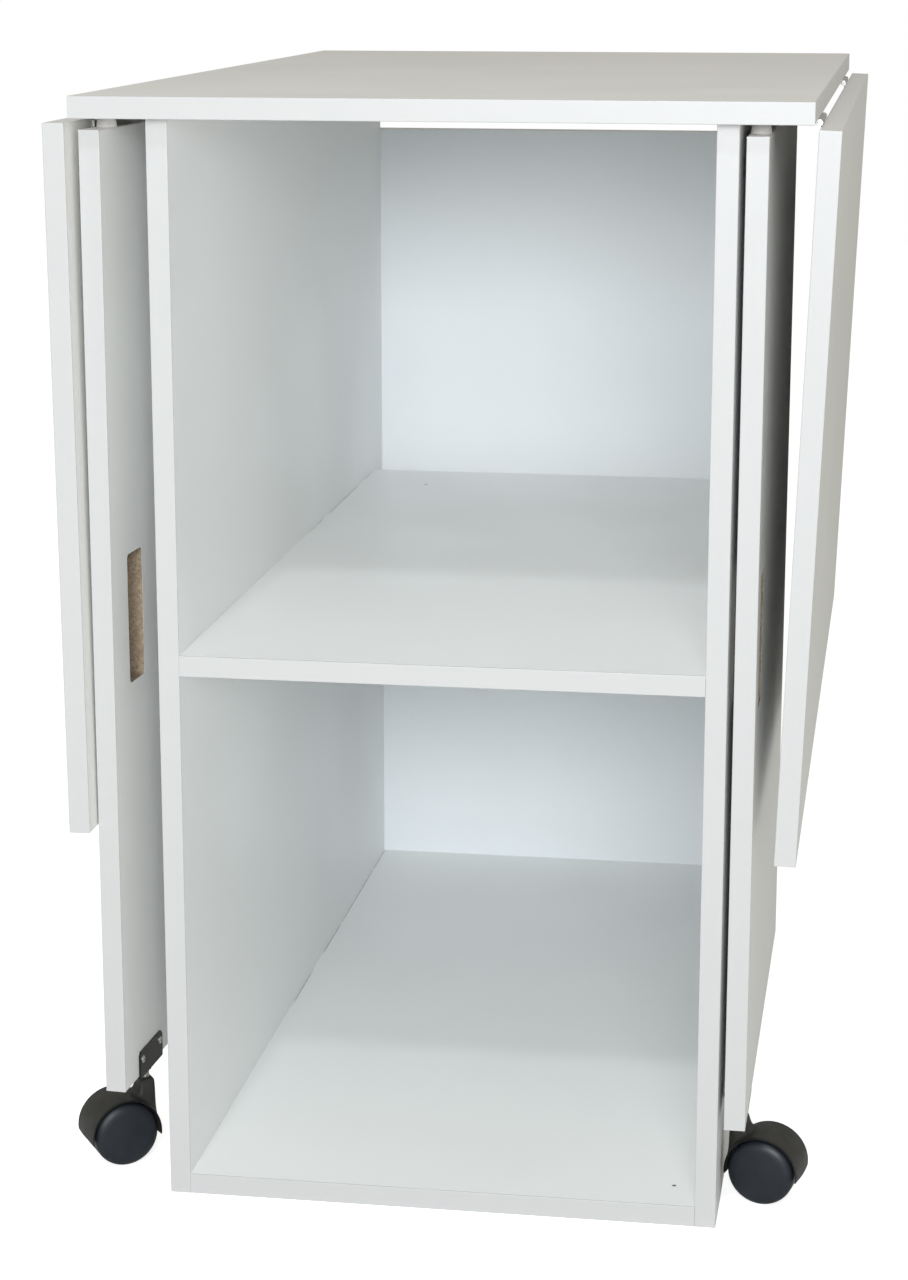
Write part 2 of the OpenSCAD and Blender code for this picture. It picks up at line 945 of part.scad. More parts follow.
// Neck round the stem: steep fore and aft, and spreading sideways down to the shell
module hood_neck() {
    crest_z = wheel_r + hood_out_r;
    difference() {
        intersection() {
            translate([0, neck_foot, 0])
                rotate([90, 0, 0])
                    linear_extrude(height = 2 * neck_foot)
                        polygon([
                            [-neck_half - 1, wheel_r + hood_out_r / 4], [-neck_half - 1, neck_z - 2], [-neck_half, neck_z],
                            [neck_half, neck_z], [neck_half + 1, neck_z - 2], [neck_half + 3, crest_z - 3],
                            [trail, crest_z - hood_crown - 0.5], [trail, wheel_r]
                        ]);
            translate([-trail, 0, 0])
                rotate([90, 0, 90])
                    linear_extrude(height = 3 * trail)
                        polygon([
                            [-neck_foot, wheel_r], [-neck_foot, wheel_r + hood_out_r / 2], [-neck_half - 1, crest_z + 2],
                            [-neck_half, neck_z], [neck_half, neck_z], [neck_half + 1, crest_z + 2],
                            [neck_foot, wheel_r + hood_out_r / 2], [neck_foot, wheel_r]
                        ]);
        }
        at_axle()
            cylinder(r = hood_in_r + hood_t / 2, h = 4 * wheel_out, center = true);
    }
}

// Web between the wheels, round below where it carries the axle
module hood_web() {
    at_axle() {
        intersection() {
            cylinder(r = hood_in_r + hood_t / 2, h = web_t, center = true);
            translate([-2 * wheel_r, -2, -web_t])
                cube([4 * wheel_r, 2 * wheel_r, 2 * web_t]);
        }
        cylinder(r = 3 * axle_r, h = web_t, center = true);
    }
}

module castor_hood(side) {
    color("black")
        on_castor(side)
            difference() {
                union() {
                    hood_shell();
                    hood_neck();
                    hood_web();
                }
                translate([0, 0, neck_z - 14])
                    cylinder(r = stem_r, h = 20);
                at_axle()
                    cylinder(r = axle_r, h = 2 * web_t, center = true);
            }
}

module castor_stem(side) {
    top_z = gate_z + socket_l - bracket_t - stem_end_play;
    color("silver")
        on_castor(side)
            translate([0, 0, neck_z - 14])
                cylinder(r = stem_r, h = top_z - neck_z + 14);
}

module castor_axle(side) {
    half = wheel_out - 5;
    color("silver")
        on_castor(side)
            at_axle()
                cylinder(r = axle_r, h = 2 * half, center = true);
}

// Wheel turned from one profile: blind bore, hollow inner side, tread, shoulder, dished face
module castor_wheel(side, end) {
    near = web_half + wheel_side_play;
    bore = axle_r + castor_play;
    hub = axle_r + 3;
    floor_y = wheel_out - 3.5;
    shoulder = [for (a = [0:15:90])
        [wheel_r - shoulder_r + shoulder_r * cos(a), wheel_out - shoulder_r + shoulder_r * sin(a)]];
    color("black")
        on_castor(side)
            translate([trail, 0, wheel_r])
                rotate([-90 * end, 0, 0])
                    rotate_extrude()
                        polygon(concat(
                            [[bore, near], [hub, near], [hub, floor_y], [wheel_r - 3, floor_y - 1], [wheel_r - 3, near + 2]],
                            [[wheel_r - 2, near + 1], [wheel_r, near + 2]],
                            shoulder,
                            [[wheel_r - shoulder_r - 3, wheel_out - dish_h], [0, wheel_out - dish_h]],
                            [[0, wheel_out - 4.5], [bore, wheel_out - 4.5]]
                        ));
}

top_panel();
top_edge_band();
side_panel(-1);  // side_panel_left
side_panel(1);  // side_panel_right
bottom_panel();
shelf_panel();
back_panel();
cabinet_edge_bands();
cam_locks();
cam_bolts();
wood_dowels();
back_panel_screws();
leaf_hinge_fixed(-1);  // leaf_hinge_fixed_left
leaf_hinge_fixed(1);  // leaf_hinge_fixed_right
leaf_hinge_pins();
leaf_hinge_screws_fixed();
gate_hinge_fixed(-1);  // gate_hinge_fixed_left
gate_hinge_fixed(1);  // gate_hinge_fixed_right
gate_hinge_pins();
gate_hinge_screws_fixed();
leaf_panel(-1);  // leaf_left_panel
leaf_edge_band(-1);  // leaf_left_edge_band
leaf_hinge_plates(-1);  // leaf_left_hinge_plates
leaf_hinge_screws(-1);  // leaf_left_hinge_screws
leaf_panel(1);  // leaf_right_panel
leaf_edge_band(1);  // leaf_right_edge_band
leaf_hinge_plates(1);  // leaf_right_hinge_plates
leaf_hinge_screws(1);  // leaf_right_hinge_screws
gate_panel(-1);  // gate_left_panel
gate_edge_band(-1);  // gate_left_edge_band
gate_hinge_plates(-1);  // gate_left_hinge_plates
gate_hinge_screws(-1);  // gate_left_hinge_screws
gate_glide(-1);  // gate_left_glide
castor_bracket(-1);  // gate_left_castor_bracket
bracket_screws(-1);  // gate_left_bracket_screws
gate_panel(1);  // gate_right_panel
gate_edge_band(1);  // gate_right_edge_band
gate_hinge_plates(1);  // gate_right_hinge_plates
gate_hinge_screws(1);  // gate_right_hinge_screws
gate_glide(1);  // gate_right_glide
castor_bracket(1);  // gate_right_castor_bracket
bracket_screws(1);  // gate_right_bracket_screws
castor_hood(-1);  // castor_left_hood
castor_stem(-1);  // castor_left_stem
castor_axle(-1);  // castor_left_axle
castor_wheel(-1, -1);  // castor_left_front_wheel
castor_wheel(-1, 1);  // castor_left_rear_wheel
castor_hood(1);  // castor_right_hood
castor_stem(1);  // castor_right_stem
castor_axle(1);  // castor_right_axle
castor_wheel(1, -1);  // castor_right_front_wheel
castor_wheel(1, 1);  // castor_right_rear_wheel
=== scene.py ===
import json
import math

import bpy
import numpy as np
from mathutils import Euler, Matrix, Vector


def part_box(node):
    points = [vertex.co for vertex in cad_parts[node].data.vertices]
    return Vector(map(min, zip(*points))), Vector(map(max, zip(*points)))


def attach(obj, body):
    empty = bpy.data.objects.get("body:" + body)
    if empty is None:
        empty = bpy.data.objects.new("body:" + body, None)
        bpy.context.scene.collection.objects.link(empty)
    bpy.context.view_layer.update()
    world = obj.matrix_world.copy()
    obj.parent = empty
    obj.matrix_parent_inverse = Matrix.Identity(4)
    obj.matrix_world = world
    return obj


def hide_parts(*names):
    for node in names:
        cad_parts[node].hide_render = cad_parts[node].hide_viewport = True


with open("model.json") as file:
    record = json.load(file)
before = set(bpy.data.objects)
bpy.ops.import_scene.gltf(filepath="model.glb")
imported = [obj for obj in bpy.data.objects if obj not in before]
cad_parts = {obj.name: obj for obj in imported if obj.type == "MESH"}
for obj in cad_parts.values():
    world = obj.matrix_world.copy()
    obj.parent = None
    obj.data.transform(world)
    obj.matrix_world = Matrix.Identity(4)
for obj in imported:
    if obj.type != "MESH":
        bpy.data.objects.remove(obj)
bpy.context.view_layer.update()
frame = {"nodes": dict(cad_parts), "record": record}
joints = {joint["name"]: joint for joint in frame["record"]["behaviour"]["joints"]}
print("frame loaded:", len(frame["nodes"]), "nodes")

# camera solved from the photograph's board edges: degrees, with lens and sensor in millimetres
cameraSettings = dict(
    place=(0.3344, -2.4699, 0.9467), pitch=76.51, turn=8.99, lens=81.6, sensor=36.0, near=0.05, far=60,
)


def makeCamera():
    look = cameraSettings
    data = bpy.data.cameras.new("camera")
    data.sensor_fit = "AUTO"
    data.sensor_width = look["sensor"]
    data.lens = look["lens"]
    data.clip_start, data.clip_end = look["near"], look["far"]
    camera = bpy.data.objects.new("camera", data)
    camera.location = look["place"]
    camera.rotation_euler = Euler((math.radians(look["pitch"]), 0, math.radians(look["turn"])))
    bpy.context.scene.collection.objects.link(camera)
    bpy.context.scene.camera = camera


cabinetMiddle = (0.0, 0.0, 0.45)
lightSettings = dict(
    lamps=(     # name, place, aim, size, watts
        ("frontLamp", (0.0, -3.9, 1.40), cabinetMiddle, 0.85, 48.0),
        ("frontRightLamp", (0.75, -3.8, 1.35), cabinetMiddle, 0.85, 39.0),
        ("highLamp", (0.2, -3.6, 2.0), cabinetMiddle, 1.0, 16.0),
        ("keyLamp", (-0.25, -2.35, 3.05), (0.0, -0.1, 0.35), 0.24, 15.0),
    ),
    lampColour=(0.955, 0.983, 1.0), worldColour=(1.0, 0.99, 0.91), worldStrength=0.43,
)


def makeAreaLight(name, place, aim, size, power):
    data = bpy.data.lights.new(name, "AREA")
    data.shape, data.size, data.energy = "DISK", size, power
    data.color = lightSettings["lampColour"]
    light = bpy.data.objects.new(name, data)
    light.location = place
    light.rotation_mode = "QUATERNION"
    light.rotation_quaternion = (Vector(aim) - Vector(place)).to_track_quat("-Z", "Y")
    bpy.context.scene.collection.objects.link(light)


# White for the camera, a faintly warm level for the light that it gives
def makeWorld():
    world = bpy.data.worlds.new("world")
    bpy.context.scene.world = world
    world.use_nodes = True
    tree = world.node_tree
    tree.nodes.clear()
    seen = tree.nodes.new("ShaderNodeLightPath")
    tone = tree.nodes.new("ShaderNodeMix")
    tone.data_type = "RGBA"
    tree.links.new(seen.outputs["Is Camera Ray"], tone.inputs[0])
    level = lightSettings["worldStrength"]
    tone.inputs[6].default_value = tuple(level * part for part in lightSettings["worldColour"]) + (1,)
    tone.inputs[7].default_value = (1, 1, 1, 1)
    background = tree.nodes.new("ShaderNodeBackground")
    tree.links.new(tone.outputs[2], background.inputs["Color"])
    output = tree.nodes.new("ShaderNodeOutputWorld")
    tree.links.new(background.outputs[0], output.inputs["Surface"])


# Shader maths: a Term is one socket, and sums on Terms add their Math nodes
class Term:
    def __init__(self, finish, socket):
        self.finish, self.socket = finish, socket

    def math(self, operation, *others):
        inputs = dict(enumerate((self, *others)))
        return self.finish.node("ShaderNodeMath", dict(operation=operation), inputs)

    def __add__(self, other):
        return self.math("ADD", other)

    def __mul__(self, other):
        return self.math("MULTIPLY", other)

    def __sub__(self, other):
        return self.math("SUBTRACT", other)

    def __rsub__(self, other):
        return self.finish.node("ShaderNodeMath", dict(operation="SUBTRACT"), {0: other, 1: self})

    def __lt__(self, other):
        return self.math("LESS_THAN", other)

    def __gt__(self, other):
        return self.math("GREATER_THAN", other)

    def __abs__(self):
        return self.math("ABSOLUTE")

    __radd__ = __add__
    __rmul__ = __mul__


# One material: fixed values go straight onto the shader's own sockets
class Finish:
    def __init__(self, name, **fixed):
        self.material = bpy.data.materials.new(name)
        self.material.use_nodes = True
        self.tree = self.material.node_tree
        self.tree.nodes.clear()
        self.shader = self.tree.nodes.new("ShaderNodeBsdfPrincipled")
        output = self.tree.nodes.new("ShaderNodeOutputMaterial")
        self.tree.links.new(self.shader.outputs[0], output.inputs["Surface"])
        for socket, value in fixed.items():
            self.shader.inputs[socket.replace("_", " ")].default_value = value
        self.place = self.node("ShaderNodeTexCoord", {}, {}, "Object")

    def node(self, kind, settings, inputs, output=0):
        made = self.tree.nodes.new(kind)
        for key, value in settings.items():         # settings first, because they can change the sockets
            setattr(made, key, value)
        for key, value in inputs.items():
            if isinstance(value, Term):
                self.tree.links.new(value.socket, made.inputs[key])
            else:
                made.inputs[key].default_value = value
        return Term(self, made.outputs[output])

    def feed(self, socket, value):
        self.tree.links.new(value.socket, self.shader.inputs[socket])

    def blend(self, factor, first, second):
        return self.node("ShaderNodeMix", dict(data_type="RGBA"), {0: factor, 6: first, 7: second}, 2)

    def vector(self, operation, *values, output=0):
        inputs = dict(enumerate(values))
        return self.node("ShaderNodeVectorMath", dict(operation=operation), inputs, output)

    def along(self, direction, origin=(0, 0, 0)):      # how far a place lies from the origin that way
        moved = self.vector("SUBTRACT", self.place, tuple(origin))
        return self.vector("DOT_PRODUCT", moved, tuple(direction), output="Value")

    def noise(self, scale, detail=2.0, rough=0.5, stretch=None):
        at = self.vector("MULTIPLY", self.place, stretch) if stretch else self.place
        inputs = {"Vector": at, "Scale": scale, "Detail": detail, "Roughness": rough}
        return self.node("ShaderNodeTexNoise", {}, inputs, "Fac")

    def step(self, value, low, high):                   # 0 below low, 1 above high, smooth between them
        inputs = {"Value": value, "From Min": low, "From Max": high}
        return self.node("ShaderNodeMapRange", dict(interpolation_type="SMOOTHSTEP"), inputs)

    def bump(self, height, distance, strength):
        inputs = {"Height": height, "Distance": distance, "Strength": strength}
        self.feed("Normal", self.node("ShaderNodeBump", {}, inputs))


def grey(level, tint=(1, 1, 1)):
    return tuple(level * part for part in tint) + (1,)


def paint(material, *nodes):
    for node in nodes:
        data = frame["nodes"][node].data
        data.materials.clear()
        data.materials.append(material)


stageSettings = dict(floorSize=14.0, floorColour=(0.86, 0.86, 0.86, 1), floorRough=0.9, floorGlow=0.66)


# Floor of pale paper, which glows for the camera alone and so keeps the cabinet's shadow
def makeStage():
    look = stageSettings
    half = look["floorSize"] / 2
    corners = [(-half, -half, 0), (half, -half, 0), (half, half, 0), (-half, half, 0)]
    data = bpy.data.meshes.new("floor")
    data.from_pydata(corners, [], [(0, 1, 2, 3)])
    floor = bpy.data.objects.new("floor", data)
    bpy.context.scene.collection.objects.link(floor)
    finish = Finish(
        "floorPaper", Base_Color=look["floorColour"], Roughness=look["floorRough"], Specular_IOR_Level=0.0,
        Emission_Strength=1.0,
    )
    seen = finish.node("ShaderNodeLightPath", {}, {}, "Is Camera Ray")
    finish.feed("Emission Color", finish.blend(seen, grey(0), grey(look["floorGlow"])))
    data.materials.append(finish.material)


bpy.context.scene.view_settings.view_transform = "Standard"
makeCamera()
for lamp in lightSettings["lamps"]:
    makeAreaLight(*lamp)
makeWorld()
makeStage()
print("camera, lights and stage made")

boardSettings = dict(
    thick=0.016, skin=0.00006, gloss=0.4, rough=(0.34, 0.46), bumpDepth=0.0002, bumpStrength=0.6,
    face=(0.922, 0.928, 0.918), cloud=(0.902, 0.908, 0.900), cloudScale=5.0, smearScale=9.0,
    stippleScale=1400.0, stipple=0.25, coreLight=(0.42, 0.33, 0.24, 1), coreDark=(0.18, 0.13, 0.085, 1),
    coreRough=0.9, flakeScale=620.0, grainScale=900.0, cornerShadeTone=(0.5, 0.48, 0.45, 1), cornerShadeScale=14.0,
    paintedLightTones={     # painted light and shade: share of the face's colour by the first word of the node, warmer on the top, darker and bluer on the back, brighter on the inner walls, so that each board of the one melamine carries its own light
        "top": (1.03, 1.0, 0.985), "leaf": (1.01, 1.0, 0.985), "gate": (0.975, 0.975, 0.97),
        "back": (0.94, 0.975, 1.01), "side": (1.02, 1.03, 1.04), "shelf": (1.02, 1.03, 1.04),
        "bottom": (1.02, 1.03, 1.04),
    },
    cornerShadeLines={    # painted shade line in the corner where a board meets the left wall: its place, half width and two ends
        "bottom_panel": dict(x=-0.1953, half=0.0005, front=-0.13, back=0.41),
        "shelf_panel": dict(x=-0.1954, half=0.0004, front=0.02, back=0.36),
    },
    # painted shade: a small hole in the board drawn as a dark spot, with its place, radius and level
    holeShadeSpots={
        "bottom_panel": dict(place=(0.1775, -0.392, 0.016), radius=0.0022, level=0.12),
        "shelf_panel": dict(place=(-0.131, 0.296, 0.431), radius=0.0022, level=0.25),
    },
)


# White melamine on both faces, and chipboard wherever the surface lies between the two faces.
# The depth into the board is the place, less a corner of the board, along its thickness.
def melamine(node, corner, across):
    look = boardSettings
    finish = Finish(node + "Melamine", Specular_IOR_Level=look["gloss"])
    half = look["thick"] / 2
    core = abs(finish.along(across, corner) - half) < half - look["skin"]
    # painted light and shade: the board's own share of the face's colour
    tone = look["paintedLightTones"][node.split("_")[0]]
    cloud = finish.step(finish.noise(look["cloudScale"], 3.0), 0.35, 0.68)
    shades = [tuple(a * b for a, b in zip(look[key], tone)) + (1,) for key in ("face", "cloud")]
    face = finish.blend(cloud, *shades)
    # painted shade: a broken dark line in the corner where the board meets the left wall
    if node in look["cornerShadeLines"]:
        line = look["cornerShadeLines"][node]
        near = abs(finish.along((1, 0, 0)) - line["x"]) < line["half"]
        depth = finish.along((0, 1, 0))
        inside = (depth > line["front"]) * (depth < line["back"])
        broken = finish.step(finish.noise(look["cornerShadeScale"], 3.0), 0.38, 0.56)
        face = finish.blend(near * inside * broken, face, look["cornerShadeTone"])
    # painted shade: dark spot with a soft edge where a small hole lies
    if node in look["holeShadeSpots"]:
        holeShadeSpot = look["holeShadeSpots"][node]
        gap = finish.vector("DISTANCE", finish.place, holeShadeSpot["place"], output="Value")
        dark = 1 - finish.step(gap, holeShadeSpot["radius"] / 2, holeShadeSpot["radius"])
        face = finish.blend(dark, face, grey(holeShadeSpot["level"]))
    cells = {"Vector": finish.place, "Scale": look["flakeScale"]}
    flakes = finish.node("ShaderNodeTexVoronoi", {}, cells, "Color")
    flake = finish.node("ShaderNodeSeparateColor", {}, {"Color": flakes})
    grain = finish.noise(look["grainScale"], 4.0, 0.7)
    chips = finish.blend(flake * 0.6 + grain * 0.5, look["coreDark"], look["coreLight"])
    finish.feed("Base Color", finish.blend(core, face, chips))
    low, high = look["rough"]
    smear = finish.step(finish.noise(look["smearScale"], 4.0), 0.3, 0.75)
    finish.feed("Roughness", (smear * (high - low) + low) * (1 - core) + core * look["coreRough"])
    stipple = finish.noise(look["stippleScale"])
    height = stipple * look["stipple"] * (1 - core) + (flake * 0.5 + grain) * core
    finish.bump(height, look["bumpDepth"], look["bumpStrength"])
    return finish.material


# Tilted boards: their lean in degrees, and the gap from the hinge's axis to the nearer face
tiltSettings = dict(leafLeft=0.4, leafRight=1.9, gateLeft=3.7, leafPin=0.0025, gatePin=0.00235)
leafLeft, leafRight, gateLeft = (
    math.radians(tiltSettings[name]) for name in ("leafLeft", "leafRight", "gateLeft")
)
normals = {     # square to each hinged board, pointing right
    "leaf_left": Vector((math.cos(leafLeft), 0, math.sin(leafLeft))),
    "leaf_right": Vector((math.cos(leafRight), 0, -math.sin(leafRight))),
    "gate_left": Vector((math.cos(gateLeft), -math.sin(gateLeft), 0)),
    "gate_right": Vector((1, 0, 0)),
}


# A straight board starts at the low corner of its box. A tilted one starts at its hinge's axis, less the
# gap and its own thickness where it lies to the left of the hinge, or plus the gap where to the right.
def paintBoards():
    straight = {
        "top_panel": (0, 0, 1), "bottom_panel": (0, 0, 1), "shelf_panel": (0, 0, 1),
        "side_panel_left": (1, 0, 0), "side_panel_right": (1, 0, 0), "back_panel": (0, 1, 0),
        "gate_right_panel": (1, 0, 0),
    }
    for node, across in straight.items():
        paint(melamine(node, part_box(node)[0], across), node)
    thick, leafPin, gatePin = boardSettings["thick"], tiltSettings["leafPin"], tiltSettings["gatePin"]
    tilted = {
        "gate_left": ("gate_left_swing", -gatePin - thick),
        "leaf_left": ("leaf_left_lift", -leafPin - thick),
        "leaf_right": ("leaf_right_lift", leafPin),
    }
    for board, (joint, shift) in tilted.items():
        corner = Vector(joints[joint]["pos_m"]) + normals[board] * shift
        paint(melamine(board + "_panel", corner, normals[board]), board + "_panel")


edgingSettings = dict(
    # painted light and shade: darker colours for the front strip, lighter ones for the edges facing up,
    # down and sideways
    shadedStrip=((0.525, 0.526, 0.535, 1), (0.545, 0.545, 0.55, 1)), gloss=0.45, rough=0.26, haze=0.14,
    edge=((0.86, 0.845, 0.83, 1), (0.89, 0.875, 0.86, 1)), streakScale=60.0, hazeScale=24.0,
    brushScale=1100.0, bumpDepth=0.0001, bumpStrength=0.35,
    depths={    # how far back the front strip, painted darker, reaches
        "top_edge_band": 0.0012, "cabinet_edge_bands": 0.05, "leaf_left_edge_band": 0.0012,
        "leaf_right_edge_band": 0.0012, "gate_left_edge_band": 0.0028, "gate_right_edge_band": 0.0012,
    },
)


# Plastic edge band, finely brushed: its front strip is painted darker as painted shade, and the edges that
# face up, down and sideways lighter as painted light, though all are one plastic; the strip ends where the
# place is farther back than its depth
def edging(node, depth):
    look = edgingSettings
    finish = Finish(node + "Plastic", Specular_IOR_Level=look["gloss"])
    streak = finish.noise(look["streakScale"], 3.0, 0.6)
    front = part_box(node)[0][1]
    forward = finish.along((0, 1, 0)) < front + depth
    shadedStrip, edge = finish.blend(streak, *look["shadedStrip"]), finish.blend(streak, *look["edge"])
    # painted light and shade: the lighter edge colour behind the strip, the darker strip colour at the
    # front
    finish.feed("Base Color", finish.blend(forward, edge, shadedStrip))
    finish.feed("Roughness", finish.noise(look["hazeScale"], 3.0) * look["haze"] + look["rough"])
    finish.bump(finish.noise(look["brushScale"]), look["bumpDepth"], look["bumpStrength"])
    return finish.material


zincSettings = dict(
    spangleScale=700.0, hazeScale=90.0, dark=0.8, tint=(1, 0.99, 0.96), bumpDepth=0.00005, bumpStrength=0.4,
)


# Zinc plate: mottled grey by a fine spangle, with a gloss that varies in larger patches
def zincPlate(name, tone, rough):
    look = zincSettings
    finish = Finish(name, Metallic=1.0)
    spangle = finish.noise(look["spangleScale"], 3.0, 0.65)
    haze = finish.noise(look["hazeScale"], 3.0)
    finish.feed("Base Color", finish.blend(spangle, grey(tone * look["dark"]), grey(tone, look["tint"])))
    finish.feed("Roughness", haze * 0.25 + spangle * 0.1 + rough - 0.15)
    finish.bump(spangle, look["bumpDepth"], look["bumpStrength"])
    return finish.material


screwSettings = dict(
    reach=0.0014, half=0.0003, plate=(0.62, 0.78), shadedRecess=0.05, rough=0.28, recessRough=0.3,
    bumpDepth=0.0003, bumpStrength=0.7,
)


# Screw heads: zinc plate with a cross recess round each head's axis, coloured near black as painted shade.
# A place is in the cross where it lies within half a slot of one of the two directions and within the
# slot's reach along it.
def screwHeads(node, normal, up):
    look = screwSettings
    half, reach = look["half"], look["reach"]
    finish = Finish(node + "Zinc", Metallic=1.0)
    spangle = finish.noise(zincSettings["spangleScale"], 3.0, 0.65)
    across = Vector(normal).cross(Vector(up))
    shadedRecess = None
    for centre in solidCentres(frame["nodes"][node].data):
        u, v = abs(finish.along(across, centre)), abs(finish.along(up, centre))
        cross = (u < half) * (v < reach) + (v < half) * (u < reach)
        shadedRecess = cross if shadedRecess is None else shadedRecess + cross
    shadedRecess = finish.step(shadedRecess, 0.0, 1.0)
    dull, bright = look["plate"]
    plate = finish.blend(spangle, grey(dull), grey(bright, zincSettings["tint"]))
    # painted shade: the cross recess coloured near black
    finish.feed("Base Color", finish.blend(shadedRecess, plate, grey(look["shadedRecess"])))
    finish.feed("Roughness", spangle * 0.1 + shadedRecess * look["recessRough"] + look["rough"])
    finish.bump(spangle * 0.1 - shadedRecess, look["bumpDepth"], look["bumpStrength"])
    paint(finish.material, node)


# Middle of each separate solid in a mesh: the lowest vertex number spreads along the edges
def solidCentres(data):
    points = np.empty(len(data.vertices) * 3)
    data.vertices.foreach_get("co", points)
    points = points.reshape(-1, 3)
    ends = np.empty(len(data.edges) * 2, np.int32)
    data.edges.foreach_get("vertices", ends)
    _, seam = np.unique(np.round(points, 6), axis=0, return_inverse=True)      # joins doubled vertices
    seam = seam.ravel()
    ends = seam[ends.reshape(-1, 2)]
    group = np.arange(seam.max() + 1)
    while True:
        low = np.minimum(group[ends[:, 0]], group[ends[:, 1]])
        before = group.copy()
        np.minimum.at(group, ends[:, 0], low)
        np.minimum.at(group, ends[:, 1], low)
        if (group == before).all():
            break
    group = group[seam]
    middles = [(points[group == g].min(0) + points[group == g].max(0)) / 2 for g in np.unique(group)]
    return [tuple(float(part) for part in middle) for middle in middles]


beechSettings = dict(
    rough=0.7, grainScale=420.0, stretch=(0.12, 1.0, 1.0), dark=(0.62, 0.42, 0.24, 1),
    light=(0.74, 0.55, 0.34, 1), bumpDepth=0.0002, bumpStrength=0.5,
)


def beech(name):
    look = beechSettings
    finish = Finish(name, Roughness=look["rough"])
    grain = finish.noise(look["grainScale"], 4.0, 0.6, look["stretch"])
    finish.feed("Base Color", finish.blend(grain, look["dark"], look["light"]))
    finish.bump(grain, look["bumpDepth"], look["bumpStrength"])
    return finish.material


lacquerSettings = dict(
    gloss=0.26, rough=0.3, black=(0.009, 0.008, 0.0075, 1), worn=(0.045, 0.034, 0.028, 1), wearScale=320.0,
    skinScale=900.0, bumpDepth=0.0001, bumpStrength=0.5,
)


# Black lacquer on pressed steel, worn to a brown-grey at random small places
def blackLacquer(name):
    look = lacquerSettings
    finish = Finish(name, Specular_IOR_Level=look["gloss"])
    orange = finish.noise(look["skinScale"])            # orange-peel skin of the lacquer
    wear = finish.step(finish.noise(look["wearScale"], 5.0, 0.7), 0.62, 0.74)
    finish.feed("Base Color", finish.blend(wear, look["black"], look["worn"]))
    finish.feed("Roughness", wear * 0.25 + orange * 0.1 + look["rough"])
    finish.bump(orange, look["bumpDepth"], look["bumpStrength"])
    return finish.material


plasticSettings = dict(
    gloss=0.38, flowScale=70.0, grainScale=1500.0, bumpStrength=0.6, rimShadeLevel=0.004, rimBlur=0.0002,
    nylon=dict(colour=(0.88, 0.86, 0.85, 1), second=(0.82, 0.80, 0.79, 1), rough=0.5, grain=0.0001),
    disc=dict(
        colour=(0.0110, 0.0145, 0.0205, 1), second=(0.008, 0.0105, 0.015, 1), rough=0.42, grain=0.00006,
    ),
    hood=dict(
        colour=(0.029, 0.0275, 0.0255, 1), second=(0.023, 0.022, 0.0205, 1), rough=0.50, grain=0.00012,
    ),
)


# Moulded plastic: faint flow marks in the gloss and a fine grain. A rim is the axis, middle and depth past
# which the plastic is painted near black on both sides of the middle, as painted shade at the rims.
def moulded(name, kind, rim=None):
    look = plasticSettings
    own = look[kind]
    finish = Finish(name, Specular_IOR_Level=look["gloss"])
    flow = finish.step(finish.noise(look["flowScale"], 3.0), 0.3, 0.7)
    fine = finish.noise(look["grainScale"])
    tone = finish.blend(flow, own["colour"], own["second"])
    if rim:
        axis, middle, depth = rim
        blur = look["rimBlur"]
        out = finish.step(abs(finish.along(axis, middle)), depth - blur, depth + blur)
        # painted shade: near black past the depth on both sides of the middle
        tone = finish.blend(out, tone, grey(look["rimShadeLevel"]))
    finish.feed("Base Color", tone)
    finish.feed("Roughness", flow * 0.08 + fine * 0.08 + own["rough"] - 0.06)
    finish.bump(fine, own["grain"], look["bumpStrength"])
    return finish.material


# Hinges, pins, screws, cams, dowels, brackets, stems and glides
def paintFittings():
    hingeZinc = zincPlate("hingeZinc", 0.62, 0.36)
    camZinc = zincPlate("camZinc", 0.5, 0.5)
    turnedSteel = zincPlate("turnedSteel", 0.7, 0.3)
    lacquer = blackLacquer("bracketLacquer")
    nylon = moulded("glideNylon", "nylon")
    for side in ("left", "right"):
        paint(hingeZinc, f"leaf_hinge_fixed_{side}", f"gate_hinge_fixed_{side}",
              f"leaf_{side}_hinge_plates", f"gate_{side}_hinge_plates")
        for node in (f"gate_{side}_bracket_screws", f"gate_{side}_hinge_screws"):
            screwHeads(node, normals[f"gate_{side}"], (0, 0, 1))
        screwHeads(f"leaf_{side}_hinge_screws", normals[f"leaf_{side}"], (0, 1, 0))
        paint(lacquer, f"gate_{side}_castor_bracket")
        paint(turnedSteel, f"castor_{side}_stem", f"castor_{side}_axle")
        paint(nylon, f"gate_{side}_glide")
    paint(hingeZinc, "leaf_hinge_pins", "gate_hinge_pins")
    screwHeads("leaf_hinge_screws_fixed", (0, 0, 1), (0, 1, 0))
    screwHeads("gate_hinge_screws_fixed", (1, 0, 0), (0, 0, 1))
    screwHeads("back_panel_screws", (0, 1, 0), (0, 0, 1))
    paint(camZinc, "cam_locks", "cam_bolts")
    paint(beech("beechDowel"), "wood_dowels")


paintBoards()
for node, depth in edgingSettings["depths"].items():
    paint(edging(node, depth), node)
paintFittings()
print("finishes painted")


def makeMesh(name, points, faces, material, body, sharpFrom):
    data = bpy.data.meshes.new(name)
    data.from_pydata(points.tolist(), [], faces)
    data.update()
    data.calc_loop_triangles()
    corners = np.empty(len(data.loop_triangles) * 3, np.int32)
    data.loop_triangles.foreach_get("vertices", corners)
    a, b, c = points[corners.reshape(-1, 3)].transpose(1, 0, 2)
    if (a * np.cross(b, c)).sum() < 0:              # six times the volume, below 0 when inside out
        data.flip_normals()
    piece = bpy.data.objects.new(name, data)
    bpy.context.scene.collection.objects.link(piece)
    data.materials.append(material)
    data.shade_smooth()
    data.set_sharp_from_angle(angle=math.radians(sharpFrom))
    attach(piece, body)
    return piece


